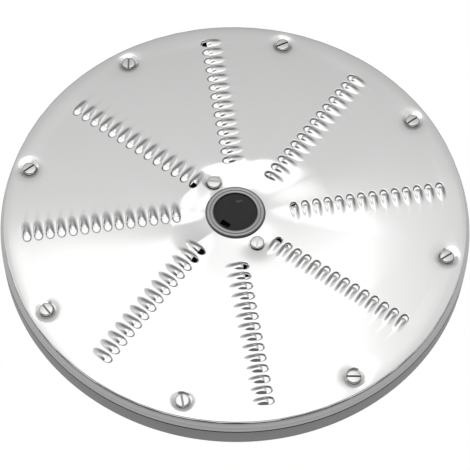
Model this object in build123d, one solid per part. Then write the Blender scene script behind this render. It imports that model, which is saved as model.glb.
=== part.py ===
from build123d import *
from math import cos, radians, sin
import os

# Grating disc for a vegetable cutter: a pressed steel plate screwed onto a cast carrier.
# The disc lies on its rim. Z is the turning axis, and the base of the rim is at zero height.
# Sizes are in millimetres, and angles are counted from +X, along the first spoke.

# Rim of the carrier: an upright band, a fine groove above it, a sloping band, and a step under the plate
disc_diameter = 205.0
rim_height = 15.0
rim_wall = 4.0
groove_height = 9.9
groove_width = 0.7
groove_depth = 0.7
slope_inset = 1.6
step_inset = 0.7
step_height = 1.0

# Spokes of the carrier, wider where they run into the hub
spoke_count = 4
spoke_width = 11.5
spoke_root_width = 15.0
spoke_root_radius = 31.0
spoke_clearance = 1.5

# Hub of the carrier, with the boss that stands through the plate
hub_diameter = 46.0
boss_diameter = 26.0
boss_rise = 1.15
boss_chamfer = 0.6
shaft_bore = 18.0
pin_recess_length = 30.0
pin_recess_width = 6.5
pin_recess_depth = 5.0

# Plug that closes the top of the bore
plug_diameter = 19.0
plug_thickness = 4.2
plug_recess = 0.8
plug_dish_diameter = 17.4
plug_dish_depth = 0.5
plug_notch_length = 4.2
plug_notch_width = 2.6
plug_notch_radius = 7.0
plug_notch_angle = 205.0
plug_clearance = 0.03

# Grating plate: a flat field on the rim, pressed down into a seat round the boss and at each screw
plate_inset = 1.5  # from the rim's outer face in to the plate's edge
plate_thickness = 1.0
boss_clearance = 0.15
seat_depth = 1.0
seat_wall = 0.4
screw_seat_radius = 3.3
screw_seat_flare = 1.2
screw_seat_flat_count = 12
hub_seat_radius = 16.2
hub_seat_flare = 4.0

# Grating teeth: each one is a hollow hump, arched at the lip, that opens onto a round-nosed hole
row_count = 8
tooth_pitch = 5.0
first_tooth_radius = 23.26
last_tooth_margin = 8.5  # least clear band between a row and the plate's edge
row_steps = [1, 3, 0, 2]  # stagger of neighbouring rows, in quarters of a pitch
hole_reach = 1.7  # from the row's line forward to the hole's nose
lip_set_back = 1.9  # from the row's line back to the lip
lip_width = 3.9
lip_height = 1.2
hollow_length = 3.4
tail_length = 5.8
lip_flat_count = 4
nose_flat_count = 4

# Slotted screws
rim_screw_count = 8
rim_screw_inset = 9.0  # from the rim's outer face in to the screws
hub_screw_count = 2
hub_screw_radius = 18.0
hub_screw_angle = 90.0
shank_diameter = 3.5
shank_length = 9.0
shank_flat_count = 12
head_diameter = 6.0
head_height = 1.2
slot_width = 0.9
slot_depth = 0.7
thread_clearance = 0.02
screw_hole_clearance = 0.2
screw_boss_diameter = 11.0
screw_boss_height = 11.5
tapped_depth = 9.0

# Heights and radii that follow from the sizes above
rim_radius = disc_diameter / 2
rim_inner_radius = rim_radius - rim_wall
plate_radius = rim_radius - plate_inset
seat_height = rim_height - seat_depth
seat_top = seat_height + plate_thickness
boss_top = seat_top + boss_rise
plug_top = boss_top - plug_recess
plug_seat = plug_top - plug_thickness
row_angle = 360 / row_count
rim_screw_places = PolarLocations(rim_radius - rim_screw_inset, rim_screw_count)
hub_screw_places = PolarLocations(hub_screw_radius, hub_screw_count, start_angle=hub_screw_angle)


# The rim turned from its section: base, upright band, groove, sloping band, step, flat top
def make_rim():
    slope_radius = rim_radius - slope_inset
    section = Polyline(
        (rim_inner_radius, 0),
        (rim_radius, 0),
        (rim_radius, groove_height - groove_width / 2),
        (rim_radius - groove_depth, groove_height),
        (rim_radius, groove_height + groove_width / 2),
        (slope_radius, rim_height - step_height),
        (slope_radius - step_inset, rim_height - step_height),
        (slope_radius - step_inset, rim_height),
        (rim_inner_radius, rim_height),
        close=True,
    )
    return revolve(Plane.XZ * make_face(section), Axis.Z)


# One spoke along +X, from inside the hub to inside the rim wall
def make_spoke():
    inner_end = boss_diameter / 2
    outer_end = rim_radius - rim_wall / 2
    outline = Polyline(
        (inner_end, -spoke_root_width / 2),
        (hub_diameter / 2, -spoke_root_width / 2),
        (spoke_root_radius, -spoke_width / 2),
        (outer_end, -spoke_width / 2),
        (outer_end, spoke_width / 2),
        (spoke_root_radius, spoke_width / 2),
        (hub_diameter / 2, spoke_root_width / 2),
        (inner_end, spoke_root_width / 2),
        close=True,
    )
    spoke = extrude(make_face(outline), seat_height - spoke_clearance)
    return Pos(0, 0, spoke_clearance) * spoke


# Hub turned from its section, with the boss, the plug's pocket and the shaft bore
def make_hub():
    section = Polyline(
        (shaft_bore / 2, 0),
        (hub_diameter / 2, 0),
        (hub_diameter / 2, seat_height),
        (boss_diameter / 2, seat_height),
        (boss_diameter / 2, boss_top - boss_chamfer / 2),
        (boss_diameter / 2 - boss_chamfer / 2, boss_top),
        (plug_diameter / 2 + boss_chamfer, boss_top),
        (plug_diameter / 2, boss_top - boss_chamfer),
        (plug_diameter / 2, plug_seat),
        (shaft_bore / 2, plug_seat),
        close=True,
    )
    return revolve(Plane.XZ * make_face(section), Axis.Z)


# A cylinder that stands on zero height, and one that hangs from it
def standing(radius, height):
    return Cylinder(radius, height, align=(Align.CENTER, Align.CENTER, Align.MIN))


def hanging(radius, height):
    return Cylinder(radius, height, align=(Align.CENTER, Align.CENTER, Align.MAX))


# A screw's shank, or the hole for one: a plain prism of flats that hangs from zero height, without a thread
def shank(radius, length):
    return extrude(RegularPolygon(radius, shank_flat_count), -length)


def make_carrier():
    spokes = PolarLocations(0, spoke_count) * make_spoke()
    screw_boss = Pos(0, 0, seat_height) * hanging(screw_boss_diameter / 2, screw_boss_height)
    bosses = rim_screw_places * screw_boss
    inside = standing(rim_radius - rim_wall / 2, boss_top)
    casting = (make_hub() + spokes + bosses) & inside
    casting += make_rim()
    casting -= standing(shaft_bore / 2, plug_seat)
    casting -= Box(pin_recess_length, pin_recess_width, 2 * pin_recess_depth)
    tapped_hole = Pos(0, 0, seat_height) * shank(shank_diameter / 2 + thread_clearance, tapped_depth)
    casting -= rim_screw_places * tapped_hole
    casting -= hub_screw_places * tapped_hole
    return casting


# Points of a half oval of flats, from +X over the top to -X
def half_oval(width, height, flats):
    turns = [radians(180 * step / flats) for step in range(flats + 1)]
    return [(width / 2 * cos(turn), height * sin(turn)) for turn in turns]


# Hole under one tooth, in outline: a round nose in front of the lip, and a point under the hump
def make_tooth_hole():
    nose = half_oval(lip_width, lip_set_back + hole_reach, nose_flat_count)
    outline = Polyline(*nose, (0, -hollow_length), close=True)
    return Pos(0, -lip_set_back, 0) * extrude(make_face(outline), plate_thickness)


# Hump behind one hole: flats that run from an arched lip back to the tail, hollow underneath
# The outer and the inner flats meet along the lip, which is the cutting edge
def make_tooth_hump():
    lip = [Vector(x, 0, z) for x, z in half_oval(lip_width, lip_height, lip_flat_count)]
    tail = Vector(0, -tail_length, 0)
    hollow = Vector(0, -hollow_length, 0)
    corners = [(lip[0], hollow, tail), (lip[-1], tail, hollow)]
    for first, second in zip(lip, lip[1:]):
        corners += [(tail, second, first), (hollow, first, second)]
    hump = Solid(Shell([Face(Wire.make_polygon(three)) for three in corners]))
    return Pos(0, -lip_set_back, 0) * hump


# Places of the teeth on the plate's top face, row by row, each row set by its share of the pitch
def tooth_places(height):
    places = []
    for row in range(row_count):
        start = first_tooth_radius + row_steps[row % len(row_steps)] * tooth_pitch / 4
        tooth_count = 1 + int((plate_radius - last_tooth_margin - start) / tooth_pitch)
        turn = Rot(0, 0, row_angle * (row + 0.5))
        places += [turn * Pos(start + tooth * tooth_pitch, 0, height) for tooth in range(tooth_count)]
    return places


# Shapes that widen upwards over the depth of a seat: round for the hub, of flats for a screw
def hub_seat(radius, height):
    cone = Cone(radius, radius + hub_seat_flare, seat_depth, align=(Align.CENTER, Align.CENTER, Align.MIN))
    return Pos(0, 0, height) * cone


def screw_seat(radius, height):
    lower = Pos(0, 0, height) * RegularPolygon(radius, screw_seat_flat_count)
    upper = Pos(0, 0, height + seat_depth) * RegularPolygon(radius + screw_seat_flare, screw_seat_flat_count)
    return loft([lower, upper], ruled=True)


def make_plate():
    screw_places = [*rim_screw_places, *hub_screw_places]
    screw_metal = screw_seat(screw_seat_radius + seat_wall, -seat_depth)
    screw_hollow = screw_seat(screw_seat_radius, plate_thickness - seat_depth)
    pressed_height = plate_thickness + seat_depth
    boss_hole = Pos(0, 0, -seat_depth) * standing(boss_diameter / 2 + boss_clearance, pressed_height)
    screw_hole = Pos(0, 0, plate_thickness) * shank(shank_diameter / 2 + screw_hole_clearance, pressed_height)
    sheet = standing(plate_radius, plate_thickness)
    sheet += hub_seat(hub_seat_radius + seat_wall, -seat_depth)
    sheet += [place * screw_metal for place in screw_places]
    sheet -= hub_seat(hub_seat_radius, plate_thickness - seat_depth)
    sheet -= [place * screw_hollow for place in screw_places]
    sheet -= boss_hole
    sheet -= [place * screw_hole for place in screw_places]
    hole = make_tooth_hole()
    sheet = sheet.cut(*[place * hole for place in tooth_places(0)])
    hump = make_tooth_hump()
    sheet = sheet.fuse(*[place * hump for place in tooth_places(plate_thickness)])
    return Pos(0, 0, rim_height) * sheet


# Plug with a shallow dish in its top, and a notch to lift it out by
def make_plug():
    notch = Box(plug_notch_width, plug_notch_length, plug_thickness)
    plug = standing(plug_diameter / 2 - plug_clearance, plug_thickness)
    plug -= Pos(0, 0, plug_thickness) * hanging(plug_dish_diameter / 2, plug_dish_depth)
    plug -= Rot(0, 0, plug_notch_angle) * Pos(plug_notch_radius, 0, plug_thickness) * notch
    return Pos(0, 0, plug_seat) * plug


# One screw, with the underside of its head on the plate
def make_screw():
    screw = standing(head_diameter / 2, head_height) + shank(shank_diameter / 2, shank_length)
    screw -= Pos(0, 0, head_height) * Box(head_diameter, slot_width, 2 * slot_depth)
    return Pos(0, 0, seat_top) * screw


os.makedirs("parts", exist_ok=True)
export_step(make_plate(), "parts/grating_plate.step")
export_step(make_carrier(), "parts/carrier.step")
export_step(make_plug(), "parts/hub_plug.step")
export_step(Compound(rim_screw_places * make_screw()), "parts/rim_screws.step")
export_step(Compound(hub_screw_places * make_screw()), "parts/hub_screws.step")
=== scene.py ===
import bpy
import bmesh
import numpy as np
from math import cos, pi, radians, sin
from mathutils import Matrix, Vector


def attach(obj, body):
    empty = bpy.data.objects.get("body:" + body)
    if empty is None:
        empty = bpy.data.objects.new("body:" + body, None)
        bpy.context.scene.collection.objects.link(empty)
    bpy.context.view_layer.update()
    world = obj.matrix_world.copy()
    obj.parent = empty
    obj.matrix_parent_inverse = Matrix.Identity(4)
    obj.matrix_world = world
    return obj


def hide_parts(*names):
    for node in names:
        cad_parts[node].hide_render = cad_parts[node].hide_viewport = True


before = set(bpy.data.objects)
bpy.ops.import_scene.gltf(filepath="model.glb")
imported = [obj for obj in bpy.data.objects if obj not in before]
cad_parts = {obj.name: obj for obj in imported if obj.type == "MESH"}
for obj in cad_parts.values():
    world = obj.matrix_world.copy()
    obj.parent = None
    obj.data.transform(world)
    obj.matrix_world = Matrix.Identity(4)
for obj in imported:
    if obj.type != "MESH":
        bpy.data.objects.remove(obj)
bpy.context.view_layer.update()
mm = 0.001
mergeDistance = 1e-6  # metres
print("frame loaded:", sorted(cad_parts))

# sizes shared by the pieces, in millimetres; z is the turning axis, the rim stands on z = 0
disc = {
    "plateTop": 16.0,
    "plateThickness": 1.0,
    "seatHeight": 14.0,  # of the casting under the plate's seats
    "plateRadius": 100.8,
    "rimRadius": 102.5,
    "rowCount": 8,
    "firstRowAngle": 22.5,
    "rimScrewCount": 8,
    "rimScrewRadius": 93.5,
    "hubScrewRadius": 18.0,
    "hubScrewAngles": (90, 270),
    "spokeAngles": (0, 90, 180, 270),
    "viewTurn": -32.7,  # azimuth of the photo's view, from -Y
}
rowAngles = disc["firstRowAngle"] + 360 / disc["rowCount"] * np.arange(disc["rowCount"])
rimScrewAngles = 360 / disc["rimScrewCount"] * np.arange(disc["rimScrewCount"])


# 0 below 0, 1 above 1, with a soft start and end between: x^2 (3 - 2x)
def smoothStep(x):
    x = np.clip(x, 0, 1)
    return x * x * (3 - 2 * x)


# quads of a grid of points, rows x columns: outward rows and anticlockwise columns face up
def gridFaces(rows, columns):
    index = np.arange(rows * columns).reshape(rows, columns)
    return np.stack([index[:-1, :-1], index[1:, :-1], index[1:, 1:], index[:-1, 1:]], -1).reshape(-1, 4)


# points and quads of one grid, or of many alike, turned over where it is an underside
def gridPart(points, under=False):
    rows, columns = points.shape[-3:-1]
    faces = gridFaces(rows, columns)[:, :: -1 if under else 1]
    many = points.reshape(-1, rows * columns, 3)
    shift = np.arange(len(many))[:, None, None] * rows * columns
    return many.reshape(-1, 3), (faces + shift).reshape(-1, 4)


# joins (points, quads) pairs into one pair of arrays
def joinParts(parts):
    starts = np.cumsum([0] + [len(points) for points, quads in parts])
    points = np.concatenate([points for points, quads in parts])
    quads = np.concatenate([quads + start for (_, quads), start in zip(parts, starts)])
    return points, quads


# turned shape: profile (r, z) goes anticlockwise round its section, carried round the Z axis
def turned(profile, steps, centre=(0, 0)):
    profile = np.asarray(profile, float)
    turns = np.linspace(0, 2 * pi, steps + 1)[:, None]
    x = centre[0] + profile[:, 0] * np.cos(turns)
    y = centre[1] + profile[:, 0] * np.sin(turns)
    z = np.broadcast_to(profile[:, 1], x.shape)
    return gridPart(np.stack([x, y, z], -1))


# points turned round the Z axis
def spun(points, degrees):
    turn = radians(degrees)
    spin = np.array([[cos(turn), sin(turn), 0], [-sin(turn), cos(turn), 0], [0, 0, 1]])
    return points @ spin


# mesh from points in millimetres and quads; doubled points are merged, so seams and poles close
def makeMesh(name, points, quads, sharpAngle, marks=None):
    mesh = bpy.data.meshes.new(name)
    mesh.vertices.add(len(points))
    mesh.vertices.foreach_set("co", (np.asarray(points) * mm).astype(np.float32).ravel())
    mesh.loops.add(quads.size)
    mesh.loops.foreach_set("vertex_index", quads.astype(np.int32).ravel())
    mesh.polygons.add(len(quads))
    mesh.polygons.foreach_set("loop_start", np.arange(0, quads.size, 4, dtype=np.int32))
    mesh.update(calc_edges=True)
    for label, values in (marks or {}).items():
        mesh.attributes.new(label, "FLOAT", "POINT").data.foreach_set("value", values.astype(np.float32))
    mergeDoubles(mesh)
    smoothMesh(mesh, sharpAngle)
    return mesh


def mergeDoubles(mesh):
    work = bmesh.new()
    work.from_mesh(mesh)
    bmesh.ops.remove_doubles(work, verts=work.verts, dist=mergeDistance)
    work.to_mesh(mesh)
    work.free()


def smoothMesh(mesh, sharpAngle):
    mesh.polygons.foreach_set("use_smooth", np.ones(len(mesh.polygons), bool))
    mesh.set_sharp_from_angle(angle=radians(sharpAngle))


def linkObject(name, data):
    made = bpy.data.objects.new(name, data)
    bpy.context.scene.collection.objects.link(made)
    return made


def makePiece(name, mesh, material, slot, *nodes):
    mesh.materials.append(material)
    piece = linkObject(name, mesh)
    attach(piece, "root")
    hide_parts(*nodes)
    print("piece", name, len(mesh.vertices), "points", len(mesh.polygons), "faces")


# materials: node trees on Object coordinates, even values on the shader's own sockets
def newMaterial(name, sockets):
    material = bpy.data.materials.new(name)
    material.use_nodes = True
    shader = material.node_tree.nodes["Principled BSDF"]
    for socket, value in sockets.items():
        shader.inputs[socket].default_value = value
    return material, material.node_tree, shader


def addNode(tree, kind, settings=None, sockets=None):
    made = tree.nodes.new("ShaderNode" + kind)
    for label, value in (settings or {}).items():
        setattr(made, label, value)
    for socket, value in (sockets or {}).items():
        if hasattr(value, "links"):
            tree.links.new(value, made.inputs[socket])
        else:
            made.inputs[socket].default_value = value
    return made


def calc(tree, operation, a, b=0.0):
    return addNode(tree, "Math", {"operation": operation}, {0: a, 1: b}).outputs[0]


def times(tree, first, *others):
    for other in others:
        first = calc(tree, "MULTIPLY", first, other)
    return first


def opposite(tree, fac):  # 1 - fac
    return calc(tree, "SUBTRACT", 1, fac)


def objectSpot(tree, scale=(1, 1, 1)):
    spot = addNode(tree, "TexCoord").outputs["Object"]
    return addNode(tree, "Mapping", None, {"Vector": spot, "Scale": scale}).outputs[0]


def noise(tree, spot, scale, detail=3.0):
    return addNode(tree, "TexNoise", None, {"Vector": spot, "Scale": scale, "Detail": detail}).outputs["Fac"]


# value from low to high as fac goes over the span, straight or with a soft start and end
def spread(tree, fac, span, low, high, way="LINEAR"):
    sockets = {"Value": fac, "From Min": span[0], "From Max": span[1], "To Min": low, "To Max": high}
    return addNode(tree, "MapRange", {"interpolation_type": way}, sockets).outputs[0]


def softSpread(tree, fac, span, low, high):
    return spread(tree, fac, span, low, high, "SMOOTHSTEP")


# a span of millimetres, in metres
def inMetres(*span):
    return [end * mm for end in span]


def grey(level):
    return level, level, level


def blendColour(tree, fac, first, second):
    made = addNode(tree, "Mix", {"data_type": "RGBA"}, {"Factor": fac})
    for socket, colour in ((6, first), (7, second)):
        if hasattr(colour, "links"):
            tree.links.new(colour, made.inputs[socket])
        else:
            made.inputs[socket].default_value = (*colour, 1)
    return made.outputs[2]


def addBump(tree, shader, height, strength, distance):
    bump = addNode(tree, "Bump", None, {"Height": height, "Strength": strength, "Distance": distance})
    tree.links.new(bump.outputs[0], shader.inputs["Normal"])


# distance from the turning axis and height above the base, in metres, from Object coordinates
def axisDistance(tree):
    parts = addNode(tree, "SeparateXYZ", None, {0: addNode(tree, "TexCoord").outputs["Object"]})
    flat = addNode(tree, "CombineXYZ", None, {0: parts.outputs[0], 1: parts.outputs[1]}).outputs[0]
    return addNode(tree, "VectorMath", {"operation": "LENGTH"}, {0: flat}).outputs["Value"], parts.outputs[2]


plateFinish = {
    "dull": (0.75, 0.75, 0.745),
    "bright": (0.78, 0.78, 0.775),
    "roughness": (0.07, 0.11),
    "hazeScale": 22,
    "lineScale": (60, 2600, 60),  # close together across the rolling direction
    "bump": (0.004, 0.0002),  # strength, distance in metres
}
noiseSpan = 0.3, 0.7  # where most values of a noise lie


# polished sheet: fine rolling lines one way, hazy patches that dull the shine
def makePlateSteel():
    look = plateFinish
    material, tree, shader = newMaterial("plateSteel", {"Metallic": 1.0})
    haze = noise(tree, objectSpot(tree), look["hazeScale"], 4)
    lines = noise(tree, objectSpot(tree, look["lineScale"]), 1, 2)
    tree.links.new(spread(tree, haze, noiseSpan, *look["roughness"]), shader.inputs["Roughness"])
    tree.links.new(blendColour(tree, haze, look["dull"], look["bright"]), shader.inputs["Base Color"])
    addBump(tree, shader, lines, *look["bump"])
    return material


castFinish = {
    "turnedHeight": (9.8, 10.1),  # where each zone starts or ends, in millimetres
    "outerRadius": (100.3, 100.6),
    "bossHeight": (14.3, 14.5),
    "bossRadius": (13.5, 14.0),
    "ledgeHeight": (12.8, 13.2),
    "innerRadius": (99.9, 100.1),
    "downward": (-0.9, -0.5),  # z of a face's direction: it looks down below this span, and doesn't above it
    # greys of the cast skin, made darker as painted shade of the shadowed floor that the upright wall
    # reflects
    "skinAndShade": (0.16, 0.21),  # greys, darkest and palest
    "clean": (0.37, 0.42),
    # shaded: grey of the painted shade on the faces under the plate and inside the rim
    "shaded": 0.012,
    "roughness": (0.48, 0.34),  # of the skin, of the turned bands
    "grainScale": 900,  # per metre
    "ringScale": 3000,
    "bump": (0.12, 0.0001),
}


# cast aluminium: bright turned bands on the rim and the boss, darker skin below the groove whose grey also
# holds painted shade the inner faces and the tops under the plate, which show only through the tooth holes,
# are painted shade: near black and without shine
def makeCastAluminium():
    look = castFinish
    material, tree, shader = newMaterial("castAluminium", {"Metallic": 1.0})
    radius, height = axisDistance(tree)
    turnedBand = spread(tree, height, inMetres(*look["turnedHeight"]), 0, 1)
    outside = spread(tree, radius, inMetres(*look["outerRadius"]), 0, 1)
    bossTop = spread(tree, height, inMetres(*look["bossHeight"]), 0, 1)
    boss = times(tree, bossTop, spread(tree, radius, inMetres(*look["bossRadius"]), 1, 0))
    bright = calc(tree, "MAXIMUM", times(tree, turnedBand, outside), boss)
    # painted shade mask: the tops under the plate and the inner faces that don't look down, all but the boss
    ledgeTop = spread(tree, height, inMetres(*look["ledgeHeight"]), 0, 1)
    ledge = times(tree, ledgeTop, opposite(tree, outside))
    normal = addNode(tree, "NewGeometry").outputs["Normal"]
    facing = addNode(tree, "SeparateXYZ", None, {0: normal}).outputs[2]
    within = spread(tree, radius, inMetres(*look["innerRadius"]), 1, 0)
    inside = times(tree, within, spread(tree, facing, look["downward"], 0, 1))
    paintedShadeMask = times(tree, calc(tree, "MAXIMUM", ledge, inside), opposite(tree, boss))
    grain = noise(tree, objectSpot(tree), look["grainScale"], 3)
    # cast skin with painted shade below the groove, clean grey on the turned bands
    skinAndShade = blendColour(tree, grain, *map(grey, look["skinAndShade"]))
    clean = blendColour(tree, grain, *map(grey, look["clean"]))
    shown = blendColour(tree, bright, skinAndShade, clean)
    tree.links.new(blendColour(tree, paintedShadeMask, shown, grey(look["shaded"])), shader.inputs["Base Color"])
    tree.links.new(opposite(tree, paintedShadeMask), shader.inputs["Metallic"])
    tree.links.new(spread(tree, paintedShadeMask, (0, 1), 0.5, 0), shader.inputs["Specular IOR Level"])
    tree.links.new(spread(tree, bright, (0, 1), *look["roughness"]), shader.inputs["Roughness"])
    ringSpot = {0: times(tree, radius, look["ringScale"]), 2: times(tree, height, look["ringScale"])}
    rings = noise(tree, addNode(tree, "CombineXYZ", None, ringSpot).outputs[0], 1, 2)
    addBump(tree, shader, calc(tree, "ADD", times(tree, rings, bright), grain), *look["bump"])
    return material


plasticFinish = {
    "black": (0.021, 0.021, 0.022),
    "paleSpeck": (0.3, 0.3, 0.3),
    "speckSpan": (0.70, 0.78),
    "speckShare": 0.3,
    "roughness": (0.36, 0.5),
    "grainScale": 1400,
    "speckScale": 420,
    "bump": (0.1, 0.0001),
}


# moulded plastic: satin black, faint grain and pale specks scattered at random
def makeDarkPlastic():
    look = plasticFinish
    material, tree, shader = newMaterial("darkPlastic", {"Specular IOR Level": 0.35})
    grain = noise(tree, objectSpot(tree), look["grainScale"], 3)
    specks = noise(tree, objectSpot(tree), look["speckScale"], 1)
    paleSpeck = spread(tree, specks, look["speckSpan"], 0, look["speckShare"])
    tree.links.new(blendColour(tree, paleSpeck, look["black"], look["paleSpeck"]), shader.inputs["Base Color"])
    tree.links.new(spread(tree, grain, noiseSpan, *look["roughness"]), shader.inputs["Roughness"])
    addBump(tree, shader, grain, *look["bump"])
    return material


screwFinish = {
    "bright": (0.72, 0.72, 0.71),
    "dark": (0.10, 0.10, 0.10),
    "roughness": (0.13, 0.25),
    "ringScale": 6,  # rings per millimetre
    "bump": (0.15, 0.0001),
}


# screw heads: turned rings round each screw's own axis, darker down the side, with painted shade in the slot
def makeScrewSteel():
    look = screwFinish
    material, tree, shader = newMaterial("screwSteel", {"Metallic": 1.0})
    ringRadius = addNode(tree, "Attribute", {"attribute_name": "ringRadius"}).outputs["Fac"]
    side = addNode(tree, "Attribute", {"attribute_name": "side"}).outputs["Fac"]
    ringSpot = addNode(tree, "CombineXYZ", None, {0: times(tree, ringRadius, look["ringScale"])})
    rings = noise(tree, ringSpot.outputs[0], 1, 2)
    tree.links.new(blendColour(tree, side, look["bright"], look["dark"]), shader.inputs["Base Color"])
    tree.links.new(spread(tree, rings, noiseSpan, *look["roughness"]), shader.inputs["Roughness"])
    addBump(tree, shader, rings, *look["bump"])
    return material


plateSteel = makePlateSteel()
castAluminium = makeCastAluminium()
darkPlastic = makeDarkPlastic()
screwSteel = makeScrewSteel()
print("materials made")

# grating plate: a pressed sheet with rows of scoop teeth
plate = {
    "pitch": 5.0,
    "teethPerRow": 14,
    "firstTooth": 23.26,
    "rowSteps": (1, 3, 0, 2),  # stagger of the rows, in quarters of the pitch
    "tileTail": -8.6,  # ends of a tooth's tile, across the row
    "tileFront": 2.7,
    "lipLine": -1.2,  # place of the lip, behind the row's line
    "lipLean": 0.2,  # how far its crest leans forward
    "lipHalfWidth": 2.05,
    "lipHeight": 0.9,
    "lipDrop": 0.35,  # share of the height that the crest loses where it rounds over to the lip
    "lipDropLength": 2.0,
    "lipThickness": 0.14,
    "lipRound": 0.03,
    "humpLength": 7.4,
    "humpFade": (2.2, 2.0),  # powers of the slope along the hump
    "crestFlat": 0.08,  # flat share of the half width
    "lipFlat": 0.35,  # what it gains at the lip
    "rollReach": 1.9,  # where the sheet starts to roll down into the hole
    "holeHalfWidth": 1.4,  # clear hole
    "holeReach": 0.95,
    "rollDepth": 0.55,
    "rollCurve": 1.7,  # power of the fall across the rolled edge
    "rollShares": (1, 0.93, 0.66, 0.33, 0.06, 0),  # loops of the rolled edge, from the clear hole out
    "supportReach": 0.15,  # from the rolled edge on to the next ring in front of it
    "holeSquareness": 2.2,
    "hollowHeight": 1.4,  # of the scoop's inside, from the underside
    "hollowLength": 3.4,
    "hollowTaper": 0.4,  # share of the width that it loses
    "hollowLean": 0.2,  # how far its crest stays behind the lip's
    "trough": (0.05, -8.0, -1.0, 20.0),  # dip between a row's teeth: depth, start, low, degrees to its end
    "troughEnds": (20.0, 25.0, 90.0, 95.0),  # radii between which the dip fades in, and out
    "dish": (1.0, 12.0),  # depth, inner radius
    "dishReach": (  # degrees anticlockwise from the view's right, outer radius there
        (10, 46), (31, 43), (55, 36), (78, 29), (122, 28), (150, 24),
        (180, 26), (198, 32), (224, 34), (245, 78), (350, 78), (370, 46),
    ),
    "rimDimple": (1.0, 3.05, 1.1),  # depth, flat radius, softness
    "hubDimple": (1.1, 3.1, 1.7),
    "hubDip": (0.24, 5.5),  # depth and reach of the soft dip round each hub screw
    "underDimple": (1.0, 3.7, 4.9),  # depth, flat radius, outer radius
    "edgeRoll": (0.2, 4.2),  # how far the sheet falls towards its edge, and over what width
    "edgeRound": 0.2,
    "holeRadius": 13.15,  # of the hole for the boss
    "hubSpread": 2.4,  # degrees at the hub hole for each millimetre across a row
    "sharpAngle": 60,
}

# lines of a tooth's tile: shares of the half width across, millimetres back from the lip and in front
acrossShares = np.array([-1, -0.78, -0.52, -0.29, -0.09, 0.09, 0.29, 0.52, 0.78, 1])
tailLength = plate["lipLine"] - plate["tileTail"]
backTop = np.array([0, 0.3, 0.7, 1.2, 1.7, 2.3, 3.1, 4.0, 5.0, 5.9, 6.7, tailLength])
backUnder = np.array([0, 0.5, 1.2, 2.2, 3.4, tailLength])
frontLines = np.linspace(plate["lipLine"], plate["tileFront"], 4)

# lines of the sheet: shares of the way from the hub hole out to the teeth, and from the teeth to the edge
innerShares = np.linspace(0, 1, 13)[:, None]
outerShares = np.array([0, 0.15, 0.3, 0.45, 0.6, 0.74, 0.83, 0.87, 0.91, 0.95, 0.98, 1])[:, None]

# and from one row to the next, close together where the rim screws stand
screwShares = 0.5425 + 0.01633 * np.array([-8, -6.2, -4.8, -3.8, -3, -1.6, 0, 1.6, 3, 3.8, 4.8, 6.2, 8])
sectorTop = np.concatenate([[0, 0.14, 0.28], screwShares, [0.78, 0.89, 1]])
sectorUnder = np.array([0, 0.3, 0.46, 0.5425, 0.625, 0.8, 1])

halfPitch = plate["pitch"] / 2
crest = np.clip(1 - acrossShares**2, 0, 1)
rowStarts = plate["firstTooth"] + np.resize(plate["rowSteps"], disc["rowCount"]) * plate["pitch"] / 4
toothSteps = plate["pitch"] * np.arange(plate["teethPerRow"])
toothAngle = np.repeat(rowAngles, plate["teethPerRow"])[:, None, None]
toothRadius = (rowStarts[:, None] + toothSteps).reshape(-1, 1, 1)


# hump behind a hole: H * (1 - u^p)^q * (1 + cos(pi a)) / 2, a bell across and a fading slope along
# u = share of the way from lip to tail, x = share of the half width, a = share past the flat crest
def humpHeight(u, x):
    drop = np.clip(1 - u * plate["humpLength"] / plate["lipDropLength"], 0, 1)
    flat = plate["crestFlat"] + plate["lipFlat"] * drop
    past = np.clip((np.abs(x) - flat) / (1 - flat), 0, 1)
    inner, outer = plate["humpFade"]
    along = (1 - u**inner) ** outer * (1 - plate["lipDrop"] * drop**2)
    return plate["lipHeight"] * along * (1 + np.cos(pi * past)) / 2


# half width of the hump, W * sqrt(1 - 0.9 u^4), which narrows towards the tail
def humpHalfWidth(u):
    return plate["lipHalfWidth"] * np.sqrt(1 - 0.9 * u**4)


# seat on the underside: flat in the middle, with a soft step round it
def dimple(away, sizes):
    depth, flat, outer = sizes
    return depth * (1 - smoothStep((away - flat) / (outer - flat)))


# pressed place under a screw: depth * exp(-(d - flat) / softness)
def pressedSpot(away, sizes):
    depth, flat, softness = sizes
    return depth * np.exp(-np.maximum(away - flat, 0) / softness)


# dish round the hub, drawn unevenly: its outer radius changes softly from angle to angle
def dishDepth(x, y):
    depth, inner = plate["dish"]
    angles, reaches = np.transpose(plate["dishReach"])
    angle = (np.degrees(np.arctan2(y, x)) - disc["viewTurn"] - angles[0]) % 360 + angles[0]
    place = np.clip(np.searchsorted(angles, angle, "right") - 1, 0, len(angles) - 2)
    share = smoothStep((angle - angles[place]) / (angles[place + 1] - angles[place]))
    outer = reaches[place] * (1 - share) + reaches[place + 1] * share
    return depth * (1 - smoothStep((np.hypot(x, y) - inner) / (outer - inner)))


# how far a place is from the nearest rim screw and from the nearest hub screw
def screwDistances(x, y):
    radius = np.hypot(x, y)
    step = 2 * pi / disc["rimScrewCount"]
    offAngle = (np.arctan2(y, x) + step / 2) % step - step / 2
    awayRim = np.hypot(radius * np.cos(offAngle) - disc["rimScrewRadius"], radius * np.sin(offAngle))
    return awayRim, np.hypot(x, np.abs(y) - disc["hubScrewRadius"])


# dip along each row, where the sheet is drawn down between the teeth
def troughDepth(x, y):
    depth, start, low, end = plate["trough"]
    fadeIn, fullFrom, fullTo, fadeOut = plate["troughEnds"]
    radius = np.hypot(x, y)
    step = 2 * pi / disc["rowCount"]
    offAngle = np.arctan2(y, x) % step - step / 2
    behind = smoothStep((radius * np.sin(offAngle) - start) / (low - start))
    ahead = 1 - smoothStep(offAngle / radians(end))
    ends = smoothStep((radius - fadeIn) / (fullFrom - fadeIn))
    ends = ends * (1 - smoothStep((radius - fullTo) / (fadeOut - fullTo)))
    return depth * behind * ahead * ends


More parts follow.
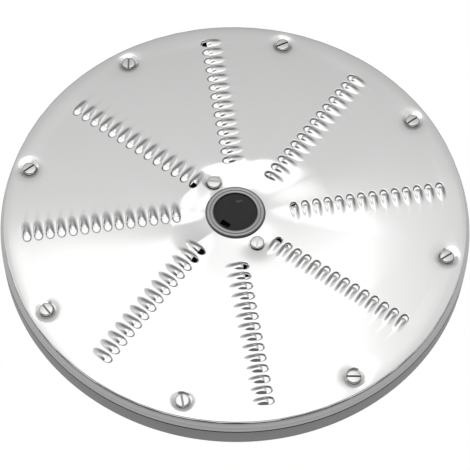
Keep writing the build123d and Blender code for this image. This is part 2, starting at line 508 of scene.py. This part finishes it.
# sheet between the teeth: pressed down at the hub, the screws and the rows, rolled and rounded at its edge
# the rounding, r - sqrt(r^2 - 0.96 d^2), stops short of upright
def sheetTop(x, y):
    awayRim, awayHub = screwDistances(x, y)
    pressed = np.maximum(dishDepth(x, y), pressedSpot(awayRim, plate["rimDimple"]))
    pressed = np.maximum(pressed, pressedSpot(awayHub, plate["hubDimple"]))
    pressed = np.maximum(pressed, troughDepth(x, y))
    dip, reach = plate["hubDip"]
    pressed = pressed + dip * np.exp(-((awayHub / reach) ** 2))
    fall, width = plate["edgeRoll"]
    toEdge = np.hypot(x, y) - disc["plateRadius"]
    pressed = pressed + fall * np.clip(toEdge / width + 1, 0, 1) ** 2
    edge = plate["edgeRound"]
    past = np.clip(toEdge + edge, 0, edge)
    return disc["plateTop"] - pressed - edge + np.sqrt(edge**2 - past**2 * 0.96)


# underside: follows the dish, with a seat at each screw
def sheetUnder(x, y):
    awayRim, awayHub = screwDistances(x, y)
    pressed = np.maximum(dishDepth(x, y), dimple(awayRim, plate["underDimple"]))
    pressed = np.maximum(pressed, dimple(awayHub, plate["underDimple"]))
    return disc["plateTop"] - disc["plateThickness"] - pressed


# places points: r along the row, t across it (anticlockwise), lift above the sheet's top or underside
def rowPoints(angle, r, t, lift, under):
    turn = np.radians(angle)
    x = r * np.cos(turn) - t * np.sin(turn)
    y = r * np.sin(turn) + t * np.cos(turn)
    z = sheetUnder(x, y) if under else sheetTop(x, y)
    return np.stack([x, y, z + lift], -1)


# the same patch at every tooth: s along the row and t across it, from the tooth's own place
def toothPoints(s, t, lift, under=False):
    s, t, lift = np.broadcast_arrays(s, t, lift)
    return rowPoints(toothAngle, toothRadius + s, t + 0 * toothRadius, lift + 0 * toothRadius, under)


# polar radius and angle of a place on a row, from the row's own line
def polar(r, t):
    return np.hypot(r, t), np.degrees(np.arctan2(t, r))


# two flat columns at each side carry a patch out to the sides of its tile
def bordered(s):
    edge = s[:, -1:]
    sides = np.concatenate([(edge + halfPitch) / 2, halfPitch + 0 * edge], 1)
    return np.concatenate([-sides[:, ::-1], s, sides], 1)


def padded(values, fill):
    fill = np.broadcast_to(fill, (len(values), 2))
    return np.concatenate([fill, values, fill], 1)


# tile behind the lip, over (back, across)
def tilePart(back, s, t, lift, under=False):
    flatT = plate["lipLine"] - back[:, None]
    return gridPart(toothPoints(bordered(s), padded(t, flatT), padded(lift, 0), under), under)


# outside of the hump, s, t and lift over (back, across)
def humpGrid():
    back = backTop[:, None]
    u = np.clip(back / plate["humpLength"], 0, 1)
    t = plate["lipLine"] - back + plate["lipLean"] * crest * (1 - u) ** 2
    return acrossShares * humpHalfWidth(u), t, humpHeight(u, acrossShares)


# inside of the scoop: an arch H * (1 - x^2) that falls and narrows evenly from the lip back
def hollowGrid():
    back = backUnder[:, None]
    share = np.clip(back / plate["hollowLength"], 0, 1)
    fade = 1 - np.clip(back / plate["humpLength"], 0, 1)
    s = acrossShares * plate["holeHalfWidth"] * (1 - share * plate["hollowTaper"])
    lean = plate["lipLean"] * crest * fade**2 - plate["hollowLean"] * crest * fade**4
    return s, plate["lipLine"] - back + lean, plate["hollowHeight"] * (1 - share) * crest


humpS, humpT, humpLift = humpGrid()
hollowS, hollowT, hollowLift = hollowGrid()
lipAcross = bordered(acrossShares[None] * plate["lipHalfWidth"])[0]
holeAcross = bordered(acrossShares[None] * plate["holeHalfWidth"])[0]

# outer loop of the block in front of the lip: up one side of the tile, across its front, down the other
sideSteps = len(frontLines) - 1
outerT = np.concatenate([frontLines[:-1], np.full(len(lipAcross), frontLines[-1]), frontLines[-2::-1]])
loopCorners = [0, sideSteps, sideSteps + len(lipAcross) - 1, len(outerT) - 1]
cornerAngles = [0, 50, 130, 180]  # of the U inside it, in degrees
loopAngles = np.radians(np.interp(np.arange(len(outerT)), loopCorners, cornerAngles))


def outerLoop(across):
    s = np.concatenate([np.full(sideSteps, halfPitch), across[::-1], np.full(sideSteps, -halfPitch)])
    return s, outerT


# opening's outline in front of the lip: a U, |s/a|^p + |t/b|^p = 1 from the lip's line forward
def frontLoop(halfWidth, reach):
    power = 2 / plate["holeSquareness"]
    across = np.cos(loopAngles)
    s = halfWidth * np.sign(across) * np.abs(across) ** power
    return s, plate["lipLine"] + (reach - plate["lipLine"]) * np.abs(np.sin(loopAngles)) ** power


# block in front of the lip, as rings from the opening out to the tile's edge
def frontPart(loops, under=False):
    s, t = np.stack(loops, 1)
    return gridPart(toothPoints(s, t, 0, under), under)


def frontParts():
    wide = plate["lipHalfWidth"]
    hole = plate["holeHalfWidth"]
    reach = plate["rollReach"]
    roll = frontLoop(wide, reach)
    support = frontLoop((wide + halfPitch) / 2, reach + plate["supportReach"])
    clear = frontLoop(hole, plate["holeReach"])
    supportUnder = frontLoop((hole + halfPitch) / 2, reach)
    top = frontPart([roll, support, outerLoop(lipAcross)])
    return [top, frontPart([clear, supportUnder, outerLoop(holeAcross)], True)]


# closed loop round an opening: the U in front, then the lip behind, which share their end points
def openingLoop(front, frontLift, s, t, lift, under=False):
    lifts = np.append(frontLift + 0 * loopAngles, lift[1:])
    return toothPoints(np.append(front[0], s[1:])[None], np.append(front[1], t[1:])[None], lifts[None], under)


# loop of the rolled edge: f = 0 where the edge starts, 1 at the clear hole
# it falls by depth * f^p, and behind it goes from the lip's crest to the arch inside, with a rounded edge
def edgeLoop(f):
    halfWidth = plate["lipHalfWidth"] + (plate["holeHalfWidth"] - plate["lipHalfWidth"]) * f
    reach = plate["rollReach"] + (plate["holeReach"] - plate["rollReach"]) * f
    fall = plate["rollDepth"] * f ** plate["rollCurve"]
    swell = plate["lipRound"] * crest * sin(pi * f)
    innerTop = plate["lipHeight"] * (1 - plate["lipDrop"]) - plate["lipThickness"] + plate["rollDepth"]
    lift = humpLift[0] * (1 - f) + innerTop * crest * f + swell - fall
    return openingLoop(frontLoop(halfWidth, reach), -fall, acrossShares * halfWidth, humpT[0] + swell, lift)


# loops from the underside of the clear hole up and out over the rolled edge
def edgePart():
    clear = frontLoop(plate["holeHalfWidth"], plate["holeReach"])
    lowest = openingLoop(clear, 0, hollowS[0], hollowT[0], hollowLift[0], True)
    return gridPart(np.concatenate([lowest, *map(edgeLoop, plate["rollShares"])], 1))


# strips that carry a row on to the hub hole and to the plate's edge
# also gives the lines along the row's tail and front, as polar radii and angles, for the sectors
def stripParts(angle, start, under):
    stripT = plate["lipLine"] - (backUnder if under else backTop)[::-1]
    stripT = np.append(stripT, frontLines[1:])
    firstR, firstA = polar(start - halfPitch, stripT)
    lastR, lastA = polar(start - halfPitch + plate["pitch"] * plate["teethPerRow"], stripT)
    innerR = plate["holeRadius"] * (1 - innerShares) + firstR * innerShares
    innerA = angle + plate["hubSpread"] * stripT * (1 - innerShares) + firstA * innerShares
    outerR = lastR * (1 - outerShares) + disc["plateRadius"] * outerShares
    outerA = angle + lastA + 0 * outerShares
    inner = gridPart(rowPoints(innerA, innerR, 0 * innerR, 0, under), under)
    outer = gridPart(rowPoints(outerA, outerR, 0 * outerR, 0, under), under)
    tailSteps = bordered(hollowS if under else humpS)[-1]
    frontSteps = holeAcross if under else lipAcross
    lines = []
    for column, steps in ((0, tailSteps), (-1, frontSteps)):
        midR, midA = polar((start + toothSteps[:, None] + steps[:-1]).ravel(), stripT[column])
        lineR = np.concatenate([innerR[:-1, column], midR, outerR[:, column]])
        lineA = np.concatenate([innerA[:-1, column], angle + midA, outerA[:, column]])
        lines.append((lineR, lineA))
    return [inner, outer], *lines


# sheet between the front of one row and the tail of the next, blended evenly from line to line
def sectorPart(frontR, frontA, tailR, tailA, under):
    share = sectorUnder if under else sectorTop
    r = frontR[:, None] * (1 - share) + tailR[:, None] * share
    a = frontA[:, None] * (1 - share) + tailA[:, None] * share
    return gridPart(rowPoints(a, r, 0 * r, 0, under), under)


def buildPlate():
    parts = [tilePart(backTop, humpS, humpT, humpLift)]
    parts += [tilePart(backUnder, hollowS, hollowT, hollowLift, True), *frontParts(), edgePart()]
    for under in (False, True):
        rows = [stripParts(angle, start, under) for angle, start in zip(rowAngles, rowStarts)]
        strips, tails, fronts = zip(*rows)
        parts += [part for pair in strips for part in pair]
        # a sector ends at the next row's tail, and the last sector at the first row's, a turn on
        tails = [*tails[1:], (tails[0][0], tails[0][1] + 360)]
        parts += [sectorPart(*front, *tail, under) for front, tail in zip(fronts, tails)]
    return joinParts(parts)


# walls of the hub hole and of the outer edge, bridged between the rims of the top and of the underside
def bridgeWalls(mesh, radii, slack=0.01):
    work = bmesh.new()
    work.from_mesh(mesh)
    for radius in radii:
        least = (radius - slack) * mm
        most = (radius + slack) * mm
        openEdges = [edge for edge in work.edges if edge.is_boundary]
        rims = [edge for edge in openEdges if least < edge.verts[0].co.xy.length < most]
        bmesh.ops.bridge_loops(work, edges=rims)
    bmesh.ops.recalc_face_normals(work, faces=work.faces)
    work.to_mesh(mesh)
    work.free()
    smoothMesh(mesh, plate["sharpAngle"])


plateMesh = makeMesh("gratingPlate", *buildPlate(), plate["sharpAngle"])
bridgeWalls(plateMesh, (plate["holeRadius"], disc["plateRadius"]))
makePiece("gratingPlate", plateMesh, plateSteel, "plate_steel", "grating_plate")

# carrier: turned rim and hub, four spokes and the screw bosses, fused into one casting
casting = {
    "ledgeInner": 98.5,  # inner radius of the ledge under the plate, and the height of its underside
    "ledgeUnder": 12.6,
    "wallInner": 99.9,  # the same of the wall below it, and the height of its top
    "wallTop": 11.4,
    "rimTop": 14.99,
    "grooveHeight": 9.9,
    "lineHeight": 12.1,  # faint line round the sloping band
    "slopeTop": 100.9,
    "slopeHeight": 14.6,
    "stepRadius": 100.2,
    "edge": 0.4,  # size of the bevels
    "hubRadius": 24.6,
    "bossRadius": 13.0,
    "bossTop": 16.15,
    "bossGroove": 11.05,  # radii of the fine groove in the boss's top, and of its highest line
    "bossFlat": 10.4,
    "pocketRadius": 9.5,
    "pocketFloor": 11.15,
    "boreRadius": 9.0,
    "spokeHalf": 3.5,
    "spokeRootHalf": 6.0,
    "spokeRoot": (24, 30),  # radii between which the root narrows
    "spokeFlare": (2.2, 92, 8),  # added half width, the radius where it starts, and its length
    "spokeUnder": 1.5,
    "spokeMiddle": 8.0,  # height of a line along its sides
    "spokeCorner": 1.6,
    "spokeCornerShare": 1.6 / 6,  # of the half width
    "screwBossRadius": 5.5,
    "screwBossUnder": 2.5,
    "topGap": 0.03,  # between a spoke's top and the seats; half as much at the screw bosses
    "pinRecess": (30.0, 6.5, 5.0),  # length, width, depth
    "rimSteps": 192,
    "hubSteps": 128,
    "screwBossSteps": 40,
    "sharpAngle": 35,
}


# rim section: base, upright wall, groove, sloping band with a faint line, flat top, ledge, inner wall
def rimProfile():
    edge = casting["edge"]
    inner = casting["wallInner"]
    radius = disc["rimRadius"]
    groove = casting["grooveHeight"]
    line = casting["lineHeight"]
    top = casting["slopeTop"]
    height = casting["slopeHeight"]
    step = casting["stepRadius"]
    ledge = casting["ledgeInner"]
    bandStart = groove + 0.35
    slope = (radius - top) / (height - bandStart)
    lineRadius = radius - slope * (line - bandStart)
    wall = [(inner + edge, 0), (radius - edge, 0), (radius - edge * 0.3, edge * 0.3), (radius, edge)]
    grooveSide = [(radius, groove - 0.45), (radius - 0.15, groove - 0.3), (radius - 0.7, groove - 0.1)]
    grooveTop = [(radius - 0.7, groove + 0.1), (radius - 0.12, groove + 0.3), (radius - 0.03, groove + 0.42)]
    band = [(lineRadius, line), (lineRadius - 0.08, line + 0.1), (lineRadius - slope * 0.3, line + 0.3)]
    bandTop = [(top + 0.07, height - 0.18), (top - 0.1, height), (step, height)]
    flatTop = [(step, casting["rimTop"]), (ledge, casting["rimTop"]), (ledge, casting["ledgeUnder"])]
    innerWall = [(inner, casting["wallTop"]), (inner, edge), (inner + edge, 0)]
    return wall + grooveSide + grooveTop + band + bandTop + flatTop + innerWall


# hub section: outer wall, shoulder under the plate, boss with a rounded edge and a fine groove, pocket, bore
def hubProfile():
    edge = casting["edge"]
    hub = casting["hubRadius"]
    seat = disc["seatHeight"]
    boss = casting["bossRadius"]
    top = casting["bossTop"]
    groove = casting["bossGroove"]
    pocket = casting["pocketRadius"]
    floor = casting["pocketFloor"]
    bore = casting["boreRadius"]
    wall = [(hub - edge, 0), (hub, edge), (hub, seat), (boss, seat)]
    bossSide = [(boss, top - 0.75), (boss - 0.12, top - 0.5), (boss - 0.5, top - 0.12)]
    bossEdge = [(boss - 0.75, top - 0.03), (groove + 0.2, top - 0.02), (groove, top - 0.14)]
    bossFlat = [(groove - 0.2, top - 0.02), (casting["bossFlat"], top), (pocket + 0.45, top - 0.04)]
    pocketSide = [(pocket + 0.12, top - 0.25), (pocket, top - 0.6), (pocket, floor)]
    boreWall = [(bore, floor), (bore, edge), (bore + edge, 0), (hub - edge, 0)]
    return wall + bossSide + bossEdge + bossFlat + pocketSide + boreWall


# spoke: a section (y, z) with rounded lower corners, carried along its length
# it is wide at the hub and flares into the rim; y is a share of the half width there
def spokeShell(angle):
    length = np.array([15, 19, 23, 25, 27, 29, 31, 40, 60, 80, 92, 95, 97, 98.3, 99.2, 100.0])
    halfWidth = np.interp(length, casting["spokeRoot"], [casting["spokeRootHalf"], casting["spokeHalf"]])
    flare, flareStart, flareLength = casting["spokeFlare"]
    halfWidth = halfWidth + flare * smoothStep((length - flareStart) / flareLength) ** 2
    corner = np.radians(np.linspace(0, 90, 6))
    y = np.append(1 - casting["spokeCornerShare"] * (1 - np.sin(corner)), [1, 1])
    z = casting["spokeUnder"] + casting["spokeCorner"] * (1 - np.cos(corner))
    z = np.append(z, [casting["spokeMiddle"], disc["seatHeight"] - casting["topGap"]])
    y = np.concatenate([-y[::-1], y, -y[-1:]])
    z = np.concatenate([z[::-1], z, z[-1:]])
    along = np.broadcast_to(length[:, None], (len(length), len(y)))
    grid = np.stack([along, halfWidth[:, None] * y, np.broadcast_to(z, along.shape)], -1)
    return capped(spun(grid, angle))


# closes a tube's two ends with a quad strip each, across the section
def capped(grid):
    points, faces = gridPart(grid)
    count = grid.shape[1] - 1
    first = np.arange(count // 2 - 1)
    cap = np.stack([first, first + 1, count - 2 - first, count - 1 - first], -1)
    lastRow = (grid.shape[0] - 1) * grid.shape[1]
    return points, np.concatenate([faces, cap, cap[:, ::-1] + lastRow])


# upright box round the origin, twice as tall as the given depth
def boxShell(sizes):
    x, y, z = np.asarray(sizes) * (0.5, 0.5, 1)
    corner = np.array([(-x, -y), (-x, y), (x, y), (x, -y), (-x, -y)])
    return capped(np.stack([np.column_stack([corner, np.full(5, height)]) for height in (-z, z)]))


# fuses the added shells with the base and cuts the last ones away, as one closed mesh
def fuseShells(name, base, added, cut, sharpAngle):
    body = linkObject(name, makeMesh(name, *base, sharpAngle))
    made = [body]
    groups = []
    for operation, shells in (("UNION", added), ("DIFFERENCE", cut)):
        group = bpy.data.collections.new(operation)
        bpy.context.scene.collection.children.link(group)
        groups.append(group)
        for points, quads in shells:
            shell = bpy.data.objects.new(operation, makeMesh(operation, points, quads, sharpAngle))
            group.objects.link(shell)
            made.append(shell)
        fuse = body.modifiers.new(operation, "BOOLEAN")
        fuse.operation = operation
        fuse.operand_type = "COLLECTION"
        fuse.collection = group
        fuse.solver = "EXACT"
    mesh = bpy.data.meshes.new_from_object(body.evaluated_get(bpy.context.evaluated_depsgraph_get()))
    for shell in made:
        bpy.data.objects.remove(shell)
    for group in groups:
        bpy.data.collections.remove(group)
    mesh.materials.clear()
    mergeDoubles(mesh)
    smoothMesh(mesh, sharpAngle)
    return mesh


# boss under a rim screw: a section turned round the screw's own axis
def screwBoss(angle):
    edge = casting["edge"]
    radius = casting["screwBossRadius"]
    under = casting["screwBossUnder"]
    top = disc["seatHeight"] - casting["topGap"] / 2
    profile = [(0, under), (radius - edge, under), (radius, under + edge), (radius, top), (0, top)]
    centre = disc["rimScrewRadius"] * np.array([cos(radians(angle)), sin(radians(angle))])
    return turned(profile, casting["screwBossSteps"], centre)


def buildCarrier():
    rim = turned(rimProfile(), casting["rimSteps"])
    added = [turned(hubProfile(), casting["hubSteps"])]
    added += [spokeShell(angle) for angle in disc["spokeAngles"]]
    added += [screwBoss(angle) for angle in rimScrewAngles]
    recess = boxShell(casting["pinRecess"])
    return fuseShells("carrierCasting", rim, added, [recess], casting["sharpAngle"])


makePiece("carrierCasting", buildCarrier(), castAluminium, "cast_aluminium", "carrier")

# plug: closes the top of the pocket, with a shallow dish in its top and a notch at one side
plug = {
    "radius": 9.45,
    "floor": 15.22,  # of the dish
    "wall": 0.12,  # height of the rim round it
    "under": 11.15,
    "dishRadius": 8.9,
    "notch": (2.6, 4.4, 3.4),  # width, length, depth
    "notchAngle": 202.0,
    "notchRadius": 7.4,
    "steps": 128,
    "sharpAngle": 35,
}


# section turned round the axis: underside, outer wall, rounded rim, floor; the notch is cut out of the floor
def buildPlug():
    under = plug["under"]
    floor = plug["floor"]
    top = floor + plug["wall"]
    radius = plug["radius"]
    dish = plug["dishRadius"]
    wall = [(0, under), (radius - 0.2, under), (radius, under + 0.2)]
    rim = [(radius, top - 0.15), (radius - 0.04, top - 0.04), (radius - 0.15, top), (dish, top)]
    inside = [(dish - 0.15, top - 0.03), (dish - 0.35, floor + 0.02), (dish - 0.6, floor), (0, floor)]
    body = turned(wall + rim + inside, plug["steps"])
    points, quads = boxShell(plug["notch"])
    notch = spun(points + (plug["notchRadius"], 0, 0), plug["notchAngle"]) + (0, 0, top)
    return fuseShells("hubPlug", body, [], [(notch, quads)], plug["sharpAngle"])


makePiece("hubPlug", buildPlug(), darkPlastic, "dark_plastic", "hub_plug")

# slotted screws
screw = {
    "headRadius": 3.0,
    "headLines": (0.02, 0.2, 0.5, 0.85, 1.25, 1.7, 2.1, 2.4, 2.52, 2.58),  # grid lines, in from the edge
    "headTop": 16.15,
    "bevel": 0.35,  # of the rounded edge
    "crown": 0.12,
    "headColumns": 19,
    "slotHalf": 0.42,  # half width, and how far its walls lean in
    "slotLean": 0.03,
    "seat": 14.95,
    "shankShare": 0.58,  # of the head's radius
    "shankEnd": 6.0,
    "rimSlots": (5, -6, 58, 8, -83, 68, -32, 2),  # slot directions as the screws happen to stand, degrees
    "hubSlots": (-34, 56),
    # the second number here and in wornSlot is the painted shade on the slot's floor
    "slot": (0.75, 0.8),  # depth and shade
    "wornSlot": (0.22, 0.15),  # the hub screws' slots are worn shallow
    "sharpAngle": 40,
}


# height of the head: a crown, top - c (r/R)^2, with a rounded edge that stops short of upright
def headHeight(radius):
    edge = np.clip(1 - (screw["headRadius"] - radius) / screw["bevel"], 0, 1)
    crown = screw["headTop"] - screw["crown"] * (radius / screw["headRadius"]) ** 2
    return crown - screw["bevel"] * (1 - np.sqrt(1 - 0.95 * edge**2))


# head over (along x, across y): a disc with a slot along x; then a skirt of side, seat and shank
# also gives each point's distance from the screw's axis, and its shade
def buildScrew(centre, slotAngle, slotDepth, slotShade):
    radius = screw["headRadius"]
    slotHalf = screw["slotHalf"]
    shank = screw["shankShare"]
    y = np.append(np.array(screw["headLines"]) - radius, -slotHalf)
    slotFloor = slotHalf - screw["slotLean"]
    y = np.concatenate([y, [-slotFloor, slotFloor], -y[::-1]])
    inSlot = np.abs(y) <= slotFloor
    along = np.sin(np.linspace(-pi / 2, pi / 2, screw["headColumns"]))
    x = along[:, None] * np.sqrt(np.maximum(radius**2 - y**2, 0))
    y = np.broadcast_to(y, x.shape)
    z = np.where(inSlot, screw["headTop"] - slotDepth, headHeight(np.hypot(x, y)))
    top = np.stack([x, y, z], -1)
    ring = np.concatenate([top[::-1, 0], top[0, 1:-1], top[:, -1], top[-1, -2:0:-1], top[-1:, 0]])
    sideRing = ring * (1, 1, 0) + (0, 0, screw["seat"])
    neck = sideRing * (shank, shank, 1)
    end = neck * (1, 1, 0) + (0, 0, screw["shankEnd"])
    skirt = np.stack([ring, sideRing, neck, end, end * (0, 0, 1)])
    points, quads = joinParts([gridPart(top), gridPart(skirt)])
    ringRadius = np.hypot(points[:, 0], points[:, 1])
    # painted shade on the slot's floor; the side, seat and shank are dark throughout
    shade = np.broadcast_to(inSlot, x.shape).ravel() * slotShade
    shade = np.append(shade, np.repeat([0.0, 1, 1, 1, 1], len(ring)))
    return spun(points, slotAngle) + np.append(centre, 0), quads, ringRadius, shade


def buildScrews(name, radius, angles, slots, slotDepth, slotShade):
    turns = np.radians(angles)
    centres = radius * np.stack([np.cos(turns), np.sin(turns)], 1)
    made = [buildScrew(centre, slot, slotDepth, slotShade) for centre, slot in zip(centres, slots)]
    points, quads = joinParts([shell[:2] for shell in made])
    ringRadius = np.concatenate([shell[2] for shell in made])
    side = np.concatenate([shell[3] for shell in made])
    return makeMesh(name, points, quads, screw["sharpAngle"], {"ringRadius": ringRadius, "side": side})


rimPlaces = disc["rimScrewRadius"], rimScrewAngles
rimScrews = buildScrews("rimScrews", *rimPlaces, screw["rimSlots"], *screw["slot"])
makePiece("rimScrews", rimScrews, screwSteel, "screw_steel", "rim_screws")
hubPlaces = disc["hubScrewRadius"], disc["hubScrewAngles"]
hubScrews = buildScrews("hubScrews", *hubPlaces, screw["hubSlots"], *screw["wornSlot"])
makePiece("hubScrews", hubScrews, screwSteel, "screw_steel", "hub_screws")

# floor, in metres: pale, white to the camera and in reflections, with the disc's faint shadow
stageFloor = {"half": 4.0, "glowShare": 0.97, "glowStrength": 1.02, "colour": (0.8, 0.8, 0.8, 1)}


# one flat quad with an empty node tree, for the floor and the soft box
def flatSheet(name, corners):
    mesh = bpy.data.meshes.new(name)
    mesh.from_pydata(corners, [], [(0, 1, 2, 3)])
    material = bpy.data.materials.new(name)
    material.use_nodes = True
    material.node_tree.nodes.clear()
    mesh.materials.append(material)
    return mesh, material.node_tree


def setSurface(tree, shader):
    tree.links.new(shader.outputs[0], addNode(tree, "OutputMaterial").inputs["Surface"])


def buildFloor():
    half = stageFloor["half"]
    corners = [(-half, -half, 0), (half, -half, 0), (half, half, 0), (-half, half, 0)]
    mesh, tree = flatSheet("floor", corners)
    path = addNode(tree, "LightPath").outputs
    seen = calc(tree, "MAXIMUM", path["Is Camera Ray"], path["Is Glossy Ray"])
    seen = calc(tree, "MAXIMUM", seen, path["Is Transmission Ray"])
    paper = addNode(tree, "BsdfDiffuse", None, {"Color": stageFloor["colour"]})
    glow = addNode(tree, "Emission", None, {"Strength": stageFloor["glowStrength"]})
    share = times(tree, seen, stageFloor["glowShare"])
    setSurface(tree, addNode(tree, "MixShader", None, {0: share, 1: paper.outputs[0], 2: glow.outputs[0]}))
    linkObject("floor", mesh)


buildFloor()
print("floor laid")

# camera at the photo's view; the aim is in millimetres, turned with the view
camera = {
    "lens": 138.87,
    "sensor": 36,
    "distance": 783.8,
    "elevation": 58.93,
    "roll": 1.38,
    "aim": (0.04, -11.40, 15.0),
}
viewTurn = Matrix.Rotation(radians(disc["viewTurn"]), 3, "Z")


def buildCamera():
    tilt = radians(camera["elevation"])
    back = viewTurn @ Vector((0, -cos(tilt), sin(tilt)))
    right = viewTurn @ Vector((1, 0, 0))
    aim = viewTurn @ Vector(camera["aim"])
    roll = Matrix.Rotation(radians(camera["roll"]), 3, "Z")
    axes = Matrix((right, back.cross(right), back)).transposed() @ roll
    data = bpy.data.cameras.new("camera")
    data.lens = camera["lens"]
    data.sensor_width = camera["sensor"]
    made = linkObject("camera", data)
    made.matrix_world = Matrix.Translation((aim + back * camera["distance"]) * mm) @ axes.to_4x4()
    bpy.context.scene.camera = made


buildCamera()
print("camera set")

# light: a large overhead soft box, in millimetres and turned with the view: x to the right, y away
softBox = {
    "height": 700,
    "farEdge": 409,
    "nearEdge": -170,
    "left": -260,
    "right": 260,
    "turn": 0.08,  # slope of the far edge, and how much more it has on the right
    "bend": 0.16,
    "farSoft": 5,
    "leftFade": (-240, -150),
    "leftLeast": 0.4,
    "rightStep": (96, 112),
    "rightShare": 0.55,  # of the light past the step
    "rightFade": (112, 200),
    "slant": 0.1,  # of the right side
    "level": 1.4,  # in the middle, and at the faded edges
    "rim": 0.88,
}

# a room that is pale behind the disc and dim in front and low down: spans of directions, and levels
room = {
    "rise": (0.45, 0.80),
    "away": (-0.3, 0.1),
    "nearToFar": (-0.2, 0.3),
    "lowNear": 0.16,
    "lowFar": 0.27,
    "overheadRise": (0.78, 0.86),
    "pale": 0.68,
    "overhead": 0.86,
    "windowSide": (-0.66, -0.5),
    "windowRise": (0.5, 0.62),
    "window": 0.75,
}


# coordinates turned to the view: x to the right, y away from the camera
def viewParts(tree, label):
    spot = addNode(tree, "TexCoord").outputs[label]
    angle = radians(-disc["viewTurn"])
    turnedWay = addNode(tree, "VectorRotate", {"rotation_type": "Z_AXIS"}, {"Vector": spot, "Angle": angle})
    return addNode(tree, "SeparateXYZ", None, {0: turnedWay.outputs[0]}).outputs


# bright in the middle, fading to the room's level at the far and side edges
def softBoxLevel(tree):
    parts = viewParts(tree, "Object")
    farEdge = softBox["farEdge"]
    farSoft = softBox["farSoft"]
    bend = times(tree, calc(tree, "MAXIMUM", parts[0], 0.0), softBox["bend"])
    edge = calc(tree, "ADD", times(tree, parts[0], softBox["turn"]), bend)
    along = calc(tree, "SUBTRACT", parts[1], edge)
    far = softSpread(tree, along, inMetres(farEdge - farSoft, farEdge + farSoft), 1, 0)
    left = softSpread(tree, parts[0], inMetres(*softBox["leftFade"]), softBox["leftLeast"], 1)
    offFar = calc(tree, "SUBTRACT", parts[1], farEdge * mm)
    slant = calc(tree, "ADD", parts[0], times(tree, offFar, softBox["slant"]))
    step = softSpread(tree, slant, inMetres(*softBox["rightStep"]), 1, softBox["rightShare"])
    fade = spread(tree, slant, inMetres(*softBox["rightFade"]), 1, 0)
    return spread(tree, times(tree, far, left, step, fade), (0, 1), softBox["rim"], softBox["level"])


def buildSoftBox():
    left = softBox["left"]
    right = softBox["right"]
    near = softBox["nearEdge"]
    far = softBox["farEdge"] + softBox["farSoft"]
    farLeft = far + softBox["turn"] * left
    farRight = far + (softBox["turn"] + softBox["bend"]) * right
    places = [(left, near), (left, farLeft), (right, farRight), (right, near)]
    mesh, tree = flatSheet("softBox", [viewTurn @ Vector((x, y, softBox["height"])) * mm for x, y in places])
    setSurface(tree, addNode(tree, "Emission", None, {"Strength": softBoxLevel(tree)}))
    panel = linkObject("softBox", mesh)
    panel.visible_camera = False


# share = how high and how far away a direction is; a glow stands on the left, and the camera sees white
def buildRoom():
    world = bpy.data.worlds.new("room")
    bpy.context.scene.world = world
    world.use_nodes = True
    tree = world.node_tree
    parts = viewParts(tree, "Generated")
    away = softSpread(tree, parts[1], room["away"], 0, 1)
    share = times(tree, softSpread(tree, parts[2], room["rise"], 0, 1), away)
    pale = softSpread(tree, parts[2], room["overheadRise"], room["pale"], room["overhead"])
    low = softSpread(tree, parts[1], room["nearToFar"], room["lowNear"], room["lowFar"])
    level = calc(tree, "ADD", times(tree, share, pale), times(tree, low, opposite(tree, share)))
    windowSide = softSpread(tree, parts[0], room["windowSide"], 1, 0)
    windowRise = softSpread(tree, parts[2], room["windowRise"], 0, 1)
    level = calc(tree, "ADD", level, times(tree, windowSide, windowRise, away, room["window"]))
    path = addNode(tree, "LightPath").outputs
    shown = calc(tree, "MAXIMUM", path["Is Camera Ray"], path["Is Transmission Ray"])
    background = tree.nodes["Background"]
    tree.links.new(calc(tree, "MAXIMUM", level, shown), background.inputs["Strength"])
    background.inputs["Color"].default_value = (1, 1, 1, 1)


buildSoftBox()
buildRoom()
print("light set")

bpy.context.scene.view_settings.view_transform = "Standard"
